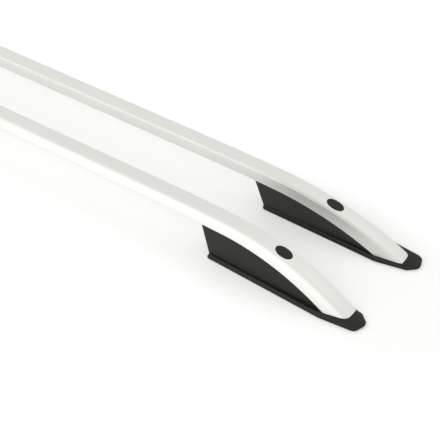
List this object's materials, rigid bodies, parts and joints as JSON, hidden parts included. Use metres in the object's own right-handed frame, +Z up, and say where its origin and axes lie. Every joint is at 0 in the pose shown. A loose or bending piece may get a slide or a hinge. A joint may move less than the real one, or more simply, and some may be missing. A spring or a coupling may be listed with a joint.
{
  "type": "pair of roof rails",
  "caption": "Pair of silver roof side rails: hollow bent rails on black moulded feet, with plugs over the rail screws and threaded inserts for the roof fixings",
  "frame": {"origin": "on the surface that the feet stand on, midway between the two rails and midway along the pair", "axes": "X runs along the rails towards the front ends, Y points from the left rail to the right rail, and Z is up"},
  "size_m": [1.8064, 0.1716, 0.068],
  "materials": {
    "rail": "satin anodised silver",
    "foot": "fine-grained moulded plastic",
    "plug": "fine-grained moulded plastic",
    "gasket": "matt rubber",
    "steel": "zinc plated",
    "insert": "turned"
  },
  "bodies": {
    "root": {"left_rail": "rail", "right_rail": "rail", "left_front_foot": "foot", "left_rear_foot": "foot", "right_front_foot": "foot", "right_rear_foot": "foot", "left_front_gasket": "gasket", "left_rear_gasket": "gasket", "right_front_gasket": "gasket", "right_rear_gasket": "gasket", "left_front_plug": "plug", "left_rear_plug": "plug", "right_front_plug": "plug", "right_rear_plug": "plug", "left_front_screw": "steel", "left_rear_screw": "steel", "right_front_screw": "steel", "right_rear_screw": "steel", "left_front_washer": "steel", "left_rear_washer": "steel", "right_front_washer": "steel", "right_rear_washer": "steel", "left_front_rail_insert": "insert", "left_rear_rail_insert": "insert", "right_front_rail_insert": "insert", "right_rear_rail_insert": "insert", "left_front_roof_inserts": "insert", "left_rear_roof_inserts": "insert", "right_front_roof_inserts": "insert", "right_rear_roof_inserts": "insert"}
  },
  "joints": []
}
